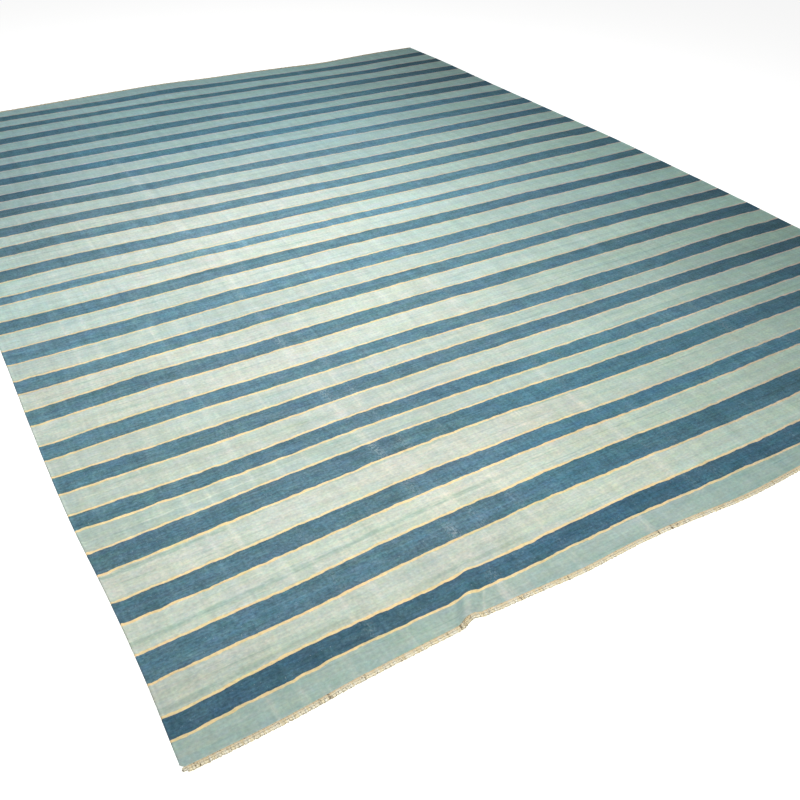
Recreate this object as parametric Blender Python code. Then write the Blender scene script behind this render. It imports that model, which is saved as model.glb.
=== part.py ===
"""A large flat-woven cotton dhurrie, lying on a floor with its long side along Y.

The rug is one woven cloth. Its weft runs along X and covers the warp, which runs along Y. At both
ends the warp is tied off in a row of small knots whose tails are clipped short. The cloth lies flat,
but for one ruck at the near end, a few low swells, and the soft ridges where it was once folded.
Sizes are in metres. The origin is on the floor, under the middle of the rug's bounding box.
"""

import math
from collections import namedtuple

import bmesh
import bpy
from mathutils import Vector

# Driving sizes of the cloth
CLOTH_WIDTH = 3.66  # selvedge to selvedge
CLOTH_LENGTH = 4.815  # first weft to last weft, without the knots
CLOTH_THICK = 0.004

# The selvedge: the outermost warps are bundled, so each long side ends in a low bead
BEAD_THICK = 0.006
BEAD_WIDTH = 0.010
BEAD_CREST = 0.004  # from the side to the top of the bead
BEAD_ROUND = 0.003  # height of the bead's outer face

# The knotted warp ends, as locks that each stand for a few knots
LOCKS_PER_END = 144
LOCK_WIDTH_SHARE = 0.64  # of the pitch from one lock to the next
LOCK_REACH = 0.0125  # past the strip that holds the locks
LOCK_REACH_VARIES = 0.0022
LOCK_TIP_SHARE = 0.72  # width of a lock's tip against its root
LOCK_LEAN = 0.0016  # how far a tip strays sideways
STRIP_WIDTH = 0.003
STRIP_THICK = 0.0042
TIP_THICK = 0.0024
PIECE_GAP = 0.0003

# The grid of the cloth
EVEN_COLUMNS = 24
EVEN_ROWS = 34
END_REACH = 0.7  # how far up the rug the stray of an end dies away

Station = namedtuple("Station", "along stray")
Swell = namedtuple("Swell", "x y left right reach heading height")

# How far each edge strays from a straight line, at stations along it
NEAR_END = (
    Station(0.00, -0.004),
    Station(0.25, -0.004),
    Station(0.47, 0.007),
    Station(0.74, 0.012),
    Station(1.00, 0.015),
    Station(1.20, 0.005),
    Station(1.45, 0.010),
    Station(1.62, 0.003),
    Station(1.87, -0.014),
    Station(2.15, -0.008),
    Station(2.70, 0.005),
    Station(3.20, -0.002),
    Station(3.66, -0.010),
)
FAR_END = (
    Station(0.00, -0.034),
    Station(0.60, -0.036),
    Station(0.95, -0.014),
    Station(1.30, 0.012),
    Station(1.65, 0.018),
    Station(1.95, 0.006),
    Station(2.30, -0.001),
    Station(2.60, -0.018),
    Station(2.87, -0.037),
    Station(3.10, -0.016),
    Station(3.40, 0.004),
    Station(3.66, 0.004),
)
LEFT_SIDE = (
    Station(0.00, -0.005),
    Station(0.30, 0.003),
    Station(0.60, 0.001),
    Station(0.95, -0.008),
    Station(1.45, -0.002),
    Station(2.00, 0.012),
    Station(2.50, 0.014),
    Station(3.10, 0.006),
    Station(3.80, -0.004),
    Station(4.815, -0.010),
)
RIGHT_SIDE = (
    Station(0.00, -0.020),
    Station(0.60, -0.034),
    Station(1.20, -0.035),
    Station(1.50, -0.020),
    Station(2.00, -0.004),
    Station(2.55, 0.008),
    Station(3.20, -0.004),
    Station(3.80, -0.018),
    Station(4.40, -0.024),
    Station(4.815, -0.046),
)

# The ruck in the near end. It falls steeply to its left and gently to its right. Its heading is the
# ridge's own direction in degrees, 90 along Y, and its reach is half its length.
RUCK = Swell(0.820, -0.02, 0.036, 0.115, 0.24, 72, 0.019)
RUCK_DRAW_IN = 0.006  # how far the cloth that it takes up pulls the end in

# Soft ridges where the rug was once folded, all along the warp
FOLDS = (
    Swell(0.96, 2.60, 0.070, 0.070, 2.10, 90, 0.0022),
    Swell(1.78, 2.45, 0.070, 0.070, 2.20, 90, 0.0018),
    Swell(2.66, 2.50, 0.080, 0.080, 2.20, 90, 0.0016),
)

# Low swells of uneven weaving, which lie mostly along the weft
SWELLS = (
    Swell(0.40, 1.62, 0.200, 0.200, 0.55, 12, 0.0045),
    Swell(1.35, 0.72, 0.190, 0.190, 0.60, 168, 0.0040),
    Swell(2.25, 1.35, 0.220, 0.220, 0.70, 8, 0.0050),
    Swell(3.15, 2.62, 0.230, 0.230, 0.42, 20, 0.0055),
    Swell(0.70, 3.00, 0.220, 0.220, 0.60, 170, 0.0055),
    Swell(2.05, 3.35, 0.230, 0.230, 0.65, 174, 0.0045),
    Swell(1.62, 4.72, 0.200, 0.200, 0.40, 4, 0.0080),
    Swell(3.30, 4.50, 0.180, 0.180, 0.30, 172, 0.0060),
)

WEFT_BLUE_GREEN = (0.30, 0.45, 0.46, 1.0)
WARP_CREAM = (0.72, 0.62, 0.45, 1.0)
COTTON_ROUGHNESS = 0.92


def clear_scene():
    """Empties the startup scene."""
    for old in list(bpy.data.objects):
        bpy.data.objects.remove(old, do_unlink=True)


def cotton(name, colour):
    """A matt cotton finish of one colour."""
    material = bpy.data.materials.new(name)
    material.use_nodes = True
    shader = material.node_tree.nodes["Principled BSDF"]
    shader.inputs["Base Color"].default_value = colour
    shader.inputs["Roughness"].default_value = COTTON_ROUGHNESS
    shader.inputs["Metallic"].default_value = 0.0
    return material


def slope_at(stations, k):
    """The slope of the smooth curve at station k, from its two neighbours."""
    before = stations[max(k - 1, 0)]
    after = stations[min(k + 1, len(stations) - 1)]
    return (after.stray - before.stray) / (after.along - before.along)


def stray_at(stations, along):
    """The stray of an edge at a place along it, on a smooth curve through its stations."""
    along = min(max(along, stations[0].along), stations[-1].along)
    k = max(i for i, station in enumerate(stations[:-1]) if station.along <= along)
    start, end = stations[k], stations[k + 1]
    span = end.along - start.along
    t = (along - start.along) / span
    return (
        start.stray * (1 + 2 * t) * (1 - t) ** 2
        + slope_at(stations, k) * span * t * (1 - t) ** 2
        + end.stray * t * t * (3 - 2 * t)
        + slope_at(stations, k + 1) * span * t * t * (t - 1)
    )


def fade(share):
    """1 at share 0, falling smoothly to 0 at share 1."""
    share = min(max(share, 0.0), 1.0)
    return 1 - share * share * (3 - 2 * share)


def bell(t):
    """A smooth hump of height 1 that ends exactly at t = 1 and t = -1."""
    return (1 - t * t) ** 2 if abs(t) < 1 else 0.0


def hump(swell, x, y):
    """A swell's share of its full height at a place on the floor."""
    turn = math.radians(swell.heading)
    dx, dy = x - swell.x, y - swell.y
    along = dx * math.cos(turn) + dy * math.sin(turn)
    aside = dx * math.sin(turn) - dy * math.cos(turn)
    side = swell.right if aside > 0 else swell.left
    return bell(aside / side) * bell(along / swell.reach)


def lift(x, y):
    """How high the cloth's underside stands off the floor."""
    return max(swell.height * hump(swell, x, y) for swell in (RUCK,) + FOLDS + SWELLS)


def place(across, up):
    """Where a point of the flat cloth lies on the floor."""
    share = across / CLOTH_WIDTH
    sideways = stray_at(LEFT_SIDE, up) * (1 - share) + stray_at(RIGHT_SIDE, up) * share
    near = stray_at(NEAR_END, across) * fade(up / END_REACH)
    far = stray_at(FAR_END, across) * fade((CLOTH_LENGTH - up) / END_REACH)
    x, y = across + sideways, up + near + far
    return x, y + RUCK_DRAW_IN * hump(RUCK, x, y)


def grid_columns():
    """The cloth's grid lines across the rug: even ones, more at folds and ruck, and the beads."""
    columns = {CLOTH_WIDTH * k / EVEN_COLUMNS for k in range(EVEN_COLUMNS + 1)}
    for step in (BEAD_CREST, BEAD_WIDTH):
        columns |= {step, CLOTH_WIDTH - step}
    for fold in FOLDS:
        columns |= {fold.x - fold.left, fold.x, fold.x + fold.right}
    for share in (1.0, 0.7, 0.35):
        columns.add(RUCK.x - RUCK.left * share)
    for share in (0.0, 0.15, 0.35, 0.6, 1.0, 1.5):
        columns.add(RUCK.x + RUCK.right * share)
    return sorted(columns)


def grid_rows():
    """The cloth's grid lines up the rug: even ones, with more over the ruck."""
    rows = {CLOTH_LENGTH * k / EVEN_ROWS for k in range(EVEN_ROWS + 1)}
    rows |= {RUCK.reach * share for share in (0.12, 0.26, 0.42, 0.74)}
    return sorted(rows)


def thickness(across):
    """The cloth's thickness, with the bead along each side."""
    side = min(across, CLOTH_WIDTH - across)
    if side < BEAD_CREST / 2:
        return BEAD_ROUND
    if side < (BEAD_CREST + BEAD_WIDTH) / 2:
        return BEAD_THICK
    return CLOTH_THICK


def new_object(name, shape, material):
    """An object of its own from a finished bmesh."""
    bmesh.ops.recalc_face_normals(shape, faces=shape.faces)
    mesh = bpy.data.meshes.new(name)
    shape.to_mesh(mesh)
    shape.free()
    mesh.materials.append(material)
    made = bpy.data.objects.new(name, mesh)
    bpy.context.scene.collection.objects.link(made)
    return made


def woven_field(columns, rows, material):
    """The cloth: its underside as a grid, extruded up by its thickness into one closed solid."""
    shape = bmesh.new()
    thick = shape.verts.layers.float.new("thick")
    grid = []
    for up in rows:
        line = []
        for across in columns:
            x, y = place(across, up)
            vert = shape.verts.new((x, y, lift(x, y)))
            vert[thick] = thickness(across)
            line.append(vert)
        grid.append(line)
    faces = []
    for low, high in zip(grid, grid[1:]):
        for k in range(len(columns) - 1):
            faces.append(shape.faces.new((low[k], high[k], high[k + 1], low[k + 1])))
    raised = bmesh.ops.extrude_face_region(shape, geom=faces, use_keep_orig=True)
    for part in raised["geom"]:
        if isinstance(part, bmesh.types.BMVert):
            part.co.z += part[thick]
    return new_object("woven_field", shape, material)


def rim_point(columns, across, up, outward):
    """A point just off the cloth's end, on the straight runs between its grid columns."""
    k = max(i for i, column in enumerate(columns[:-1]) if column <= across)
    share = (across - columns[k]) / (columns[k + 1] - columns[k])
    ends = []
    for column in (columns[k], columns[k + 1]):
        x, y = place(column, up)
        ends.append(Vector((x, y, lift(x, y))))
    return ends[0].lerp(ends[1], share) + Vector((0, outward * PIECE_GAP, 0))


def lock_spans():
    """Where each lock starts and ends across the rug, in order."""
    pitch = (CLOTH_WIDTH - 2 * BEAD_CREST) / LOCKS_PER_END
    width = pitch * LOCK_WIDTH_SHARE
    starts = [BEAD_CREST + pitch * k + (pitch - width) / 2 for k in range(LOCKS_PER_END)]
    return [(start, start + width) for start in starts]


def knot_row(name, columns, up, outward, material):
    """One end's row of knots: a narrow strip with locks drawn out of its outer face."""
    shape = bmesh.new()
    locks = lock_spans()
    marks = {BEAD_CREST, CLOTH_WIDTH - BEAD_CREST}
    marks |= {column for column in columns if BEAD_CREST < column < CLOTH_WIDTH - BEAD_CREST}
    for start, end in locks:
        marks |= {start, end}
    marks = sorted(marks)
    rings = []
    for across in marks:
        inner = rim_point(columns, across, up, outward)
        outer = inner + Vector((0, outward * STRIP_WIDTH, 0))
        top = Vector((0, 0, STRIP_THICK))
        rings.append([shape.verts.new(p) for p in (inner, outer, outer + top, inner + top)])
    outer_faces = []
    for one, two in zip(rings, rings[1:]):
        sides = []
        for i in range(4):
            j = (i + 1) % 4
            sides.append(shape.faces.new((one[i], one[j], two[j], two[i])))
        outer_faces.append(sides[1])
    shape.faces.new(rings[0])
    shape.faces.new(rings[-1])
    for number, (start, end) in enumerate(locks):
        roots = [face for face, mark in zip(outer_faces, marks) if start <= mark < end]
        draw_out_lock(shape, roots, number, outward)
    return new_object(name, shape, material)


def draw_out_lock(shape, roots, number, outward):
    """Extrudes one lock out of the strip, then tapers, leans and levels its tip."""
    drawn = bmesh.ops.extrude_face_region(shape, geom=roots)
    tips = [part for part in drawn["geom"] if isinstance(part, bmesh.types.BMVert)]
    middle = sum(vert.co.x for vert in tips) / len(tips)
    halfway = sum(vert.co.z for vert in tips) / len(tips)
    reach = LOCK_REACH + LOCK_REACH_VARIES * math.sin(2.4 * number)
    lean = LOCK_LEAN * math.sin(1.7 * number + outward)
    for vert in tips:
        above = TIP_THICK if vert.co.z > halfway else 0.0
        vert.co.x = middle + (vert.co.x - middle) * LOCK_TIP_SHARE + lean
        vert.co.y += outward * reach
        vert.co.z = lift(vert.co.x, vert.co.y) + above
    bmesh.ops.delete(shape, geom=roots, context="FACES_ONLY")


def centre_on_floor(pieces):
    """Moves the whole rug so that the origin is under the middle of its bounding box."""
    corners = [vert.co for piece in pieces for vert in piece.data.vertices]
    middle_x = (min(c.x for c in corners) + max(c.x for c in corners)) / 2
    middle_y = (min(c.y for c in corners) + max(c.y for c in corners)) / 2
    for piece in pieces:
        for vert in piece.data.vertices:
            vert.co.x -= middle_x
            vert.co.y -= middle_y


def main():
    clear_scene()
    weft = cotton("weft_cotton", WEFT_BLUE_GREEN)
    warp = cotton("warp_cotton", WARP_CREAM)
    columns = grid_columns()
    rug = [
        woven_field(columns, grid_rows(), weft),
        knot_row("near_end_knots", columns, 0.0, -1, warp),
        knot_row("far_end_knots", columns, CLOTH_LENGTH, 1, warp),
    ]
    centre_on_floor(rug)


main()
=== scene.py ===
# %% [markdown]
# # A large striped dhurrie
# This lesson dresses a cotton dhurrie: a rug woven flat, with no pile, in blue and pale green
# stripes. Its weft runs across the rug and hides the warp. Only at the two ends does the warp show,
# where it is tied off in a row of small knots. The rug lies on a floor, nearly flat, with one ruck.
#
# The model of the rug's solids is loaded first. It says where each piece lies, and every piece made
# below is fitted to it.

# %% Load the frame
import math
import random
from collections import namedtuple

import bmesh
import bpy
import numpy as np
from mathutils import Matrix, Vector, noise


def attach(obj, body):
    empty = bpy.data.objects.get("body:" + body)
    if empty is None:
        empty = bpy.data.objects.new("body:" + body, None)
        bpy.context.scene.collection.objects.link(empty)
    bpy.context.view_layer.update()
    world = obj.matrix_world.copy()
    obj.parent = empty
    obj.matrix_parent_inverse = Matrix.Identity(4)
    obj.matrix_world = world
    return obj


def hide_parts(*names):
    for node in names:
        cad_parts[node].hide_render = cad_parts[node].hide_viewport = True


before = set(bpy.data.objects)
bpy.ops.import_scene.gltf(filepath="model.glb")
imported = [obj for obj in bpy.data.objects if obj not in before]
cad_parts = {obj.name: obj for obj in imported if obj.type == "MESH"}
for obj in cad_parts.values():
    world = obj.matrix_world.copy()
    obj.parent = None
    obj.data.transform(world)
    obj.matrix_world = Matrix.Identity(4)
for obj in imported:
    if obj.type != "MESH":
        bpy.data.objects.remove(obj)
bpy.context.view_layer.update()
MM = 0.001
print("the rug's solids:", sorted(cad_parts))

# %% [markdown]
# ## Where things are counted from
# A weaver counts from the corner where the work starts: so many centimetres across, so many up. The
# near left corner is that place here. The floor's own origin is under the middle of the rug, so adding
# this corner turns a place on the loom into a place on the floor.

# %% The corner to count from
CORNER = Vector((-1.829, -2.410, 0.0))
CLOTH_WIDTH = 3.66
print("near left corner of the cloth:", tuple(CORNER))

# %% [markdown]
# ## The camera
# The rug is seen by someone who stands just outside its near left corner and looks down and across
# it. A camera looks along its own -Z axis, so it is tipped up from looking straight down, then turned
# about the vertical, and rolled a little, because it was held by hand.

# %% Set up the camera
EYE = Vector((-0.205, -1.235, 1.919))
HEADING = math.radians(-32.05)
TIPPED_UP = math.radians(53.6)
ROLL = math.radians(1.25)
LENS_MM = 40.4

camera = bpy.data.objects.new("camera", bpy.data.cameras.new("camera"))
bpy.context.scene.collection.objects.link(camera)
camera.data.lens = LENS_MM
turned = Matrix.Rotation(HEADING, 4, "Z") @ Matrix.Rotation(TIPPED_UP, 4, "X")
camera.matrix_world = Matrix.Translation(CORNER + EYE) @ turned @ Matrix.Rotation(ROLL, 4, "Z")
camera.data.clip_end = 200
bpy.context.scene.camera = camera
print("the camera looks along", tuple(-camera.matrix_world.col[2])[:3])

# %% [markdown]
# ## The outline of the cloth
# A handwoven rug is never a true rectangle. Its solid already has the right outline, so the outline
# is read from there: the faces of the solid's rim look outwards, and their corners are points of the
# edge. A smooth curve through those points gives the edge at any place.

# %% Read the four edges from the solid
def rim_points(node, way):
    """Corners of the node's faces that look along way, as (along the edge, out of it) pairs."""
    copy = bmesh.new()
    copy.from_mesh(bpy.data.objects[node].data)
    along, out = (0, 1) if way.y else (1, 0)
    found = {}
    for face in copy.faces:
        if face.normal.dot(way) > 0.8:
            for vert in face.verts:
                found[round(vert.co[along], 4)] = vert.co[out]
    copy.free()
    return sorted(found.items())


def smooth_curve(points, places):
    """Heights at places of a smooth curve through points, with each slope from its neighbours."""
    xs, ys = (np.array(column, float) for column in zip(*points))
    slopes = np.gradient(ys, xs)
    places = np.clip(places, xs[0], xs[-1])
    k = np.clip(np.searchsorted(xs, places, side="right") - 1, 0, len(xs) - 2)
    span = xs[k + 1] - xs[k]
    t = (places - xs[k]) / span
    return (
        ys[k] * (1 + 2 * t) * (1 - t) ** 2
        + slopes[k] * span * t * (1 - t) ** 2
        + ys[k + 1] * t * t * (3 - 2 * t)
        + slopes[k + 1] * span * t * t * (t - 1)
    )


NEAR_RIM = rim_points("woven_field", Vector((0, -1, 0)))
FAR_RIM = rim_points("woven_field", Vector((0, 1, 0)))
LEFT_RIM = rim_points("woven_field", Vector((-1, 0, 0)))
RIGHT_RIM = rim_points("woven_field", Vector((1, 0, 0)))
for title, rim in (("near", NEAR_RIM), ("far", FAR_RIM), ("left", LEFT_RIM), ("right", RIGHT_RIM)):
    print(title, "edge has", len(rim), "points, from", rim[0], "to", rim[-1])

# %% [markdown]
# ## Where the cloth stands off the floor
# Most of the rug lies flat. One ruck stands up in its near end, steep on its left and gentle on its
# right. Three soft ridges run along the warp where the rug was once folded, and a few low swells show
# that it was woven a little unevenly. Each is one row of a table, so that it can be changed by hand.

# %% Swells, ridges and the ruck
Swell = namedtuple("Swell", "across up left right reach heading height")
RUCK = Swell(0.794, -0.01, 0.028, 0.050, 0.33, 57, 0.0200)
SWELLS = (
    RUCK,
    Swell(0.870, -0.01, 0.070, 0.130, 0.24, 60, 0.0046),
    Swell(0.96, 2.60, 0.070, 0.070, 2.10, 90, 0.0022),
    Swell(1.78, 2.45, 0.070, 0.070, 2.20, 90, 0.0018),
    Swell(2.66, 2.50, 0.080, 0.080, 2.20, 90, 0.0016),
    Swell(0.40, 1.62, 0.200, 0.200, 0.55, 12, 0.0045),
    Swell(1.35, 0.72, 0.190, 0.190, 0.60, 168, 0.0040),
    Swell(2.25, 1.35, 0.220, 0.220, 0.70, 8, 0.0050),
    Swell(3.15, 2.62, 0.230, 0.230, 0.42, 20, 0.0055),
    Swell(0.70, 3.00, 0.220, 0.220, 0.60, 170, 0.0055),
    Swell(2.05, 3.35, 0.230, 0.230, 0.65, 174, 0.0045),
    Swell(1.62, 4.72, 0.200, 0.200, 0.40, 4, 0.0080),
    Swell(3.30, 4.50, 0.180, 0.180, 0.30, 172, 0.0060),
)


def bell(t):
    """A smooth hump of height 1 that ends exactly at t = 1 and t = -1."""
    return np.where(np.abs(t) < 1, (1 - t * t) ** 2, 0.0)


def lift(x, y):
    """How high the cloth's underside stands off the floor, for arrays of places on the floor."""
    height = np.zeros_like(x)
    for swell in SWELLS:
        turn = math.radians(swell.heading)
        dx = x - CORNER.x - swell.across
        dy = y - CORNER.y - swell.up
        along = dx * math.cos(turn) + dy * math.sin(turn)
        aside = dx * math.sin(turn) - dy * math.cos(turn)
        side = np.where(aside > 0, swell.right, swell.left)
        height = np.maximum(height, swell.height * bell(aside / side) * bell(along / swell.reach))
    return height


print("the ruck stands", RUCK.height / MM, "mm high")

# %% [markdown]
# ## The stripes
# The weaver changed yarn 46 times. Each row below is one blue stripe: how far up the rug its middle
# lies, how wide it is, and how much wider it gets from left to right, in millimetres. The other
# columns are dye: how light this blue is and how much lighter it turns towards the right, the same
# two for the green before it, and how pale that green has washed.

# %% Blue stripes, from the near end
Stripe = namedtuple("Stripe", "middle width widens blue blue_turn green green_turn pale")
STRIPES = (
    Stripe(126, 73, 22, 0.70, 0.05, 0.89, 0.05, 0.42),
    Stripe(342, 98, 8, 0.87, -0.18, 1.06, 0.22, 0.90),
    Stripe(548, 75, -12, 0.99, 0.34, 1.05, 0.08, 0.93),
    Stripe(757, 92, 6, 0.94, 0.22, 1.00, 0.03, 1.00),
    Stripe(932, 73, 11, 0.99, 0.20, 0.98, 0.22, 0.68),
    Stripe(1125, 81, -8, 0.96, 0.02, 0.99, 0.15, 0.86),
    Stripe(1311, 83, 8, 1.03, -0.04, 0.97, 0.03, 0.86),
    Stripe(1530, 90, 2, 1.02, -0.02, 1.02, 0.00, 1.00),
    Stripe(1742, 85, -4, 1.08, -0.10, 1.06, 0.10, 1.00),
    Stripe(1954, 97, -12, 1.15, -0.08, 1.01, 0.06, 0.83),
    Stripe(2178, 90, -8, 1.10, -0.08, 1.06, 0.02, 0.90),
    Stripe(2387, 68, 6, 1.40, -0.12, 1.10, 0.00, 1.00),
    Stripe(2591, 97, -8, 1.23, 0.02, 1.09, 0.00, 1.00),
    Stripe(2807, 91, 0, 1.19, -0.06, 1.05, -0.04, 0.98),
    Stripe(3008, 94, -6, 1.12, 0.08, 1.03, -0.02, 0.95),
    Stripe(3227, 86, 2, 1.14, 0.25, 1.01, 0.02, 0.64),
    Stripe(3444, 86, 12, 1.12, 0.45, 0.98, 0.10, 0.44),
    Stripe(3652, 87, 2, 1.13, 0.45, 0.98, 0.24, 0.37),
    Stripe(3857, 91, 0, 1.07, 0.00, 1.01, 0.20, 0.28),
    Stripe(4060, 92, -4, 1.06, 0.10, 1.02, 0.00, 0.18),
    Stripe(4281, 87, 0, 1.08, 0.05, 1.05, 0.02, 0.10),
    Stripe(4485, 70, 0, 1.08, -0.05, 1.14, -0.04, 0.10),
    Stripe(4672, 76, 2, 1.17, 0.00, 1.23, -0.04, 0.10),
)
LAST_GREEN, LAST_PALE = 1.26, 0.14
STRIPE_COUNT = 2 * len(STRIPES) + 1
print(len(STRIPES), "blue stripes,", len(STRIPES) + 1, "green ones")

# %% [markdown]
# The weft is beaten home by hand, so no stripe is quite straight. A second table holds how far it strays
# up or down at eight stations across the rug, for the levels where this changes. A smooth curve joins
# the stations. A sine wave would be shorter to write, but every stripe would then look stamped.

# %% How the weft bows, in millimetres at stations across the rug
BOW_STATIONS = (0.05, 0.45, 0.95, 1.50, 2.10, 2.70, 3.30, 3.60)
Bow = namedtuple("Bow", "up offsets")
BOWS = (
    Bow(130, (-15, 0, 0, 5, -10, -10, -20, -20)),
    Bow(344, (-35, -25, -5, 0, -15, -15, -15, -20)),
    Bow(760, (-30, -15, 5, 0, -15, -15, -20, -20)),
    Bow(932, (-10, -15, 0, 0, -15, -15, -15, -15)),
    Bow(1126, (-10, -15, -5, 0, -10, -10, -15, -20)),
    Bow(1311, (-15, 0, -5, 0, -20, -20, -10, -20)),
    Bow(1533, (-20, -5, -5, 0, -10, -10, -15, -30)),
    Bow(1743, (-25, -25, -5, 0, -5, -5, -20, -35)),
    Bow(2177, (-15, -15, 0, 0, -10, -15, -30, -35)),
    Bow(2594, (5, 20, 5, 0, -10, -15, -20, -15)),
    Bow(2811, (25, 35, 15, 5, -15, -15, -20, -25)),
    Bow(3009, (30, 30, 20, 0, -10, -20, -15, -20)),
    Bow(3228, (30, 25, 10, 5, -15, -20, -20, -25)),
    Bow(3449, (0, 0, 0, 0, -10, -15, -30, -35)),
    Bow(3650, (10, 5, 0, 0, -5, -5, -20, -30)),
    Bow(3861, (0, -5, 0, 0, 0, -5, -20, -25)),
    Bow(4064, (-15, -15, -5, 5, -10, -20, -20, -20)),
    Bow(4283, (-30, -25, -5, 0, -15, -20, -30, -35)),
    Bow(4497, (-30, -25, -10, 0, -10, -30, -45, -30)),
    Bow(4678, (-35, -30, -20, -10, -10, -35, -35, -20)),
)


def bowed(up_mm, across):
    """The stray of the weft that is up_mm up the rug, in metres, at places across it."""
    levels = [bow.up for bow in BOWS]
    curves = [smooth_curve(list(zip(BOW_STATIONS, bow.offsets)), across) for bow in BOWS]
    k = int(np.clip(np.searchsorted(levels, up_mm) - 1, 0, len(levels) - 2))
    share = np.clip((up_mm - levels[k]) / (levels[k + 1] - levels[k]), 0, 1)
    return (curves[k] * (1 - share) + curves[k + 1] * share) * MM


print("stray of the fifth blue stripe, in mm:", np.round(bowed(932, np.linspace(0, 3.66, 5)) / MM))

# %% [markdown]
# ## The cloth's mesh
# A sheet of cloth starts as a flat grid. Its lines across the rug follow the weft, so each change of
# yarn lies exactly on a line, and its lines up the rug lie closer together at the sides and over the
# ruck. The grid is the cloth's underside.

# %% Where the grid's lines go
CLOTH_THICK = 4.0 * MM
BEAD_THICK = 6.0 * MM
BEAD_STEPS = (0.0, 0.8, 2.0, 4.0, 6.5, 9.0, 12.0)
BEAD_HEIGHTS = (2.6, 4.6, 5.7, 6.0, 5.4, 4.3, 4.0)
COLUMN_STEP = 0.030
RUCK_STEP = 0.008
RUCK_BEFORE, RUCK_AFTER = 0.06, 0.25
SIDE_MARGINS = 0.03, 0.02
ROW_STEP = 0.022
TAPER_PIVOT = 0.41  # the share of the width where a stripe is as wide as its row says
CORNER_CUT_ACROSS = 14 * MM
CORNER_CUT_UP = 13 * MM


def column_places():
    """Distances across the rug of the grid's lines along the warp."""
    bead = np.array(BEAD_STEPS) * MM
    middle = np.arange(SIDE_MARGINS[0], CLOTH_WIDTH - SIDE_MARGINS[1], COLUMN_STEP)
    ruck = np.arange(RUCK.across - RUCK_BEFORE, RUCK.across + RUCK_AFTER, RUCK_STEP)
    apart = 1.5 * RUCK_STEP
    middle = middle[(middle < ruck[0] - apart) | (middle > ruck[-1] + apart)]
    return np.sort(np.concatenate([bead, middle, ruck, CLOTH_WIDTH - bead]))


def stripe_edges(across):
    """The lines where the yarn changes, each as distances up the rug at places across it."""
    share = across / CLOTH_WIDTH - TAPER_PIVOT
    lines = []
    for stripe in STRIPES:
        middle = stripe.middle * MM + bowed(stripe.middle, across)
        half = (stripe.width + stripe.widens * share) * MM / 2
        lines += [middle - half, middle + half]
    return lines


print("the cloth is", CLOTH_THICK / MM, "mm thick, and", BEAD_THICK / MM, "mm at its beads")

# %% Work out every row of the grid
across = column_places()
edges = stripe_edges(across)
floor_x = CORNER.x + across
near_edge = smooth_curve(NEAR_RIM, floor_x)
near_edge += CORNER_CUT_UP * np.clip(1 - across / CORNER_CUT_ACROSS, 0, 1)
far_edge = smooth_curve(FAR_RIM, floor_x)
lines = [near_edge] + [CORNER.y + edge for edge in edges] + [far_edge]

rows = []
row_stripe = []
for number, (low, high) in enumerate(zip(lines, lines[1:])):
    parts = max(3, round(float(np.mean(high - low)) / ROW_STEP))
    for part in range(parts):
        rows.append(low + (high - low) * part / parts)
        row_stripe.append(number + part / parts)
rows.append(lines[-1])
row_stripe.append(float(STRIPE_COUNT))
rows = np.array(rows)
row_stripe = np.array(row_stripe)
print(rows.shape[0], "lines of weft and", rows.shape[1], "lines of warp")

# %% [markdown]
# The lines are laid on the floor: the left and right edges set how far across each point lies, and
# the swells set its height. Real cloth is never dead flat either, so smooth noise, the same on each run,
# adds an unevenness of about a millimetre.

# %% Lay the grid on the floor
UNEVEN = 1.1 * MM
UNEVEN_SCALE = 6.0
FINER_UP = 1.6  # times finer up the rug than across it
NOISE_LAYER = 3.1
SUNK = 0.35  # share of the unevenness that lies below the floor and is cut off flat
share = across / CLOTH_WIDTH
left = smooth_curve(LEFT_RIM, rows)
right = smooth_curve(RIGHT_RIM, rows)
grid_x = left * (1 - share) + right * share
grid_y = rows
unevenness = np.array([
    [noise.noise((x * UNEVEN_SCALE, y * UNEVEN_SCALE * FINER_UP, NOISE_LAYER)) for x, y in zip(*line)]
    for line in zip(grid_x, grid_y)
])
grid_z = lift(grid_x, grid_y) + UNEVEN * np.clip(0.5 + unevenness, 0, 1)
grid_z = np.maximum(grid_z - UNEVEN * SUNK, 0)
print("highest point of the underside:", round(float(grid_z.max()) / MM, 1), "mm")

# %% [markdown]
# Blender's grid has its points in rows, one after another, so the places worked out above are written
# straight onto them. Three helpers come first. An operator acts on all that is selected, so only the
# pieces it is meant for are picked, and a finished piece sits at the origin with its place in its mesh.

# %% Make the sheet
def deselect_all():
    """Leaves nothing selected, because an operator acts on all that is."""
    if bpy.context.object and bpy.context.object.mode != "OBJECT":
        bpy.ops.object.mode_set(mode="OBJECT")
    bpy.ops.object.select_all(action="DESELECT")


def pick(*pieces):
    """Selects these pieces alone, with the first as the active one."""
    deselect_all()
    for piece in pieces:
        piece.select_set(True)
    bpy.context.view_layer.objects.active = pieces[0]


def settle(piece):
    """Puts an object's place and turn into its mesh."""
    pick(piece)
    bpy.ops.object.transform_apply(location=True, rotation=True, scale=True)


deselect_all()
line_count, column_count = grid_x.shape
bpy.ops.mesh.primitive_grid_add(
    x_subdivisions=column_count - 1, y_subdivisions=line_count - 1, size=1, location=(0, 0, 0)
)
cloth = bpy.context.object
cloth.name = cloth.data.name = "woven_cloth"
places = np.stack([grid_x, grid_y, grid_z], axis=-1).reshape(-1, 3)
assert len(cloth.data.vertices) == len(places)
cloth.data.vertices.foreach_set("co", places.ravel())
cloth.data.update()
print("grid of", len(cloth.data.polygons), "faces")

# %% [markdown]
# ## Telling the finish where it is
# The finish of the cloth follows the loom and not the room, so the mesh carries two UV maps. The
# first holds metres across and metres up the cloth. The second holds how wide the stripe is there,
# and a count that grows by one with each stripe, so that its fraction says how far through the
# stripe a point lies. The dye of the yarn is kept as a colour on each corner of each face.

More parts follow.
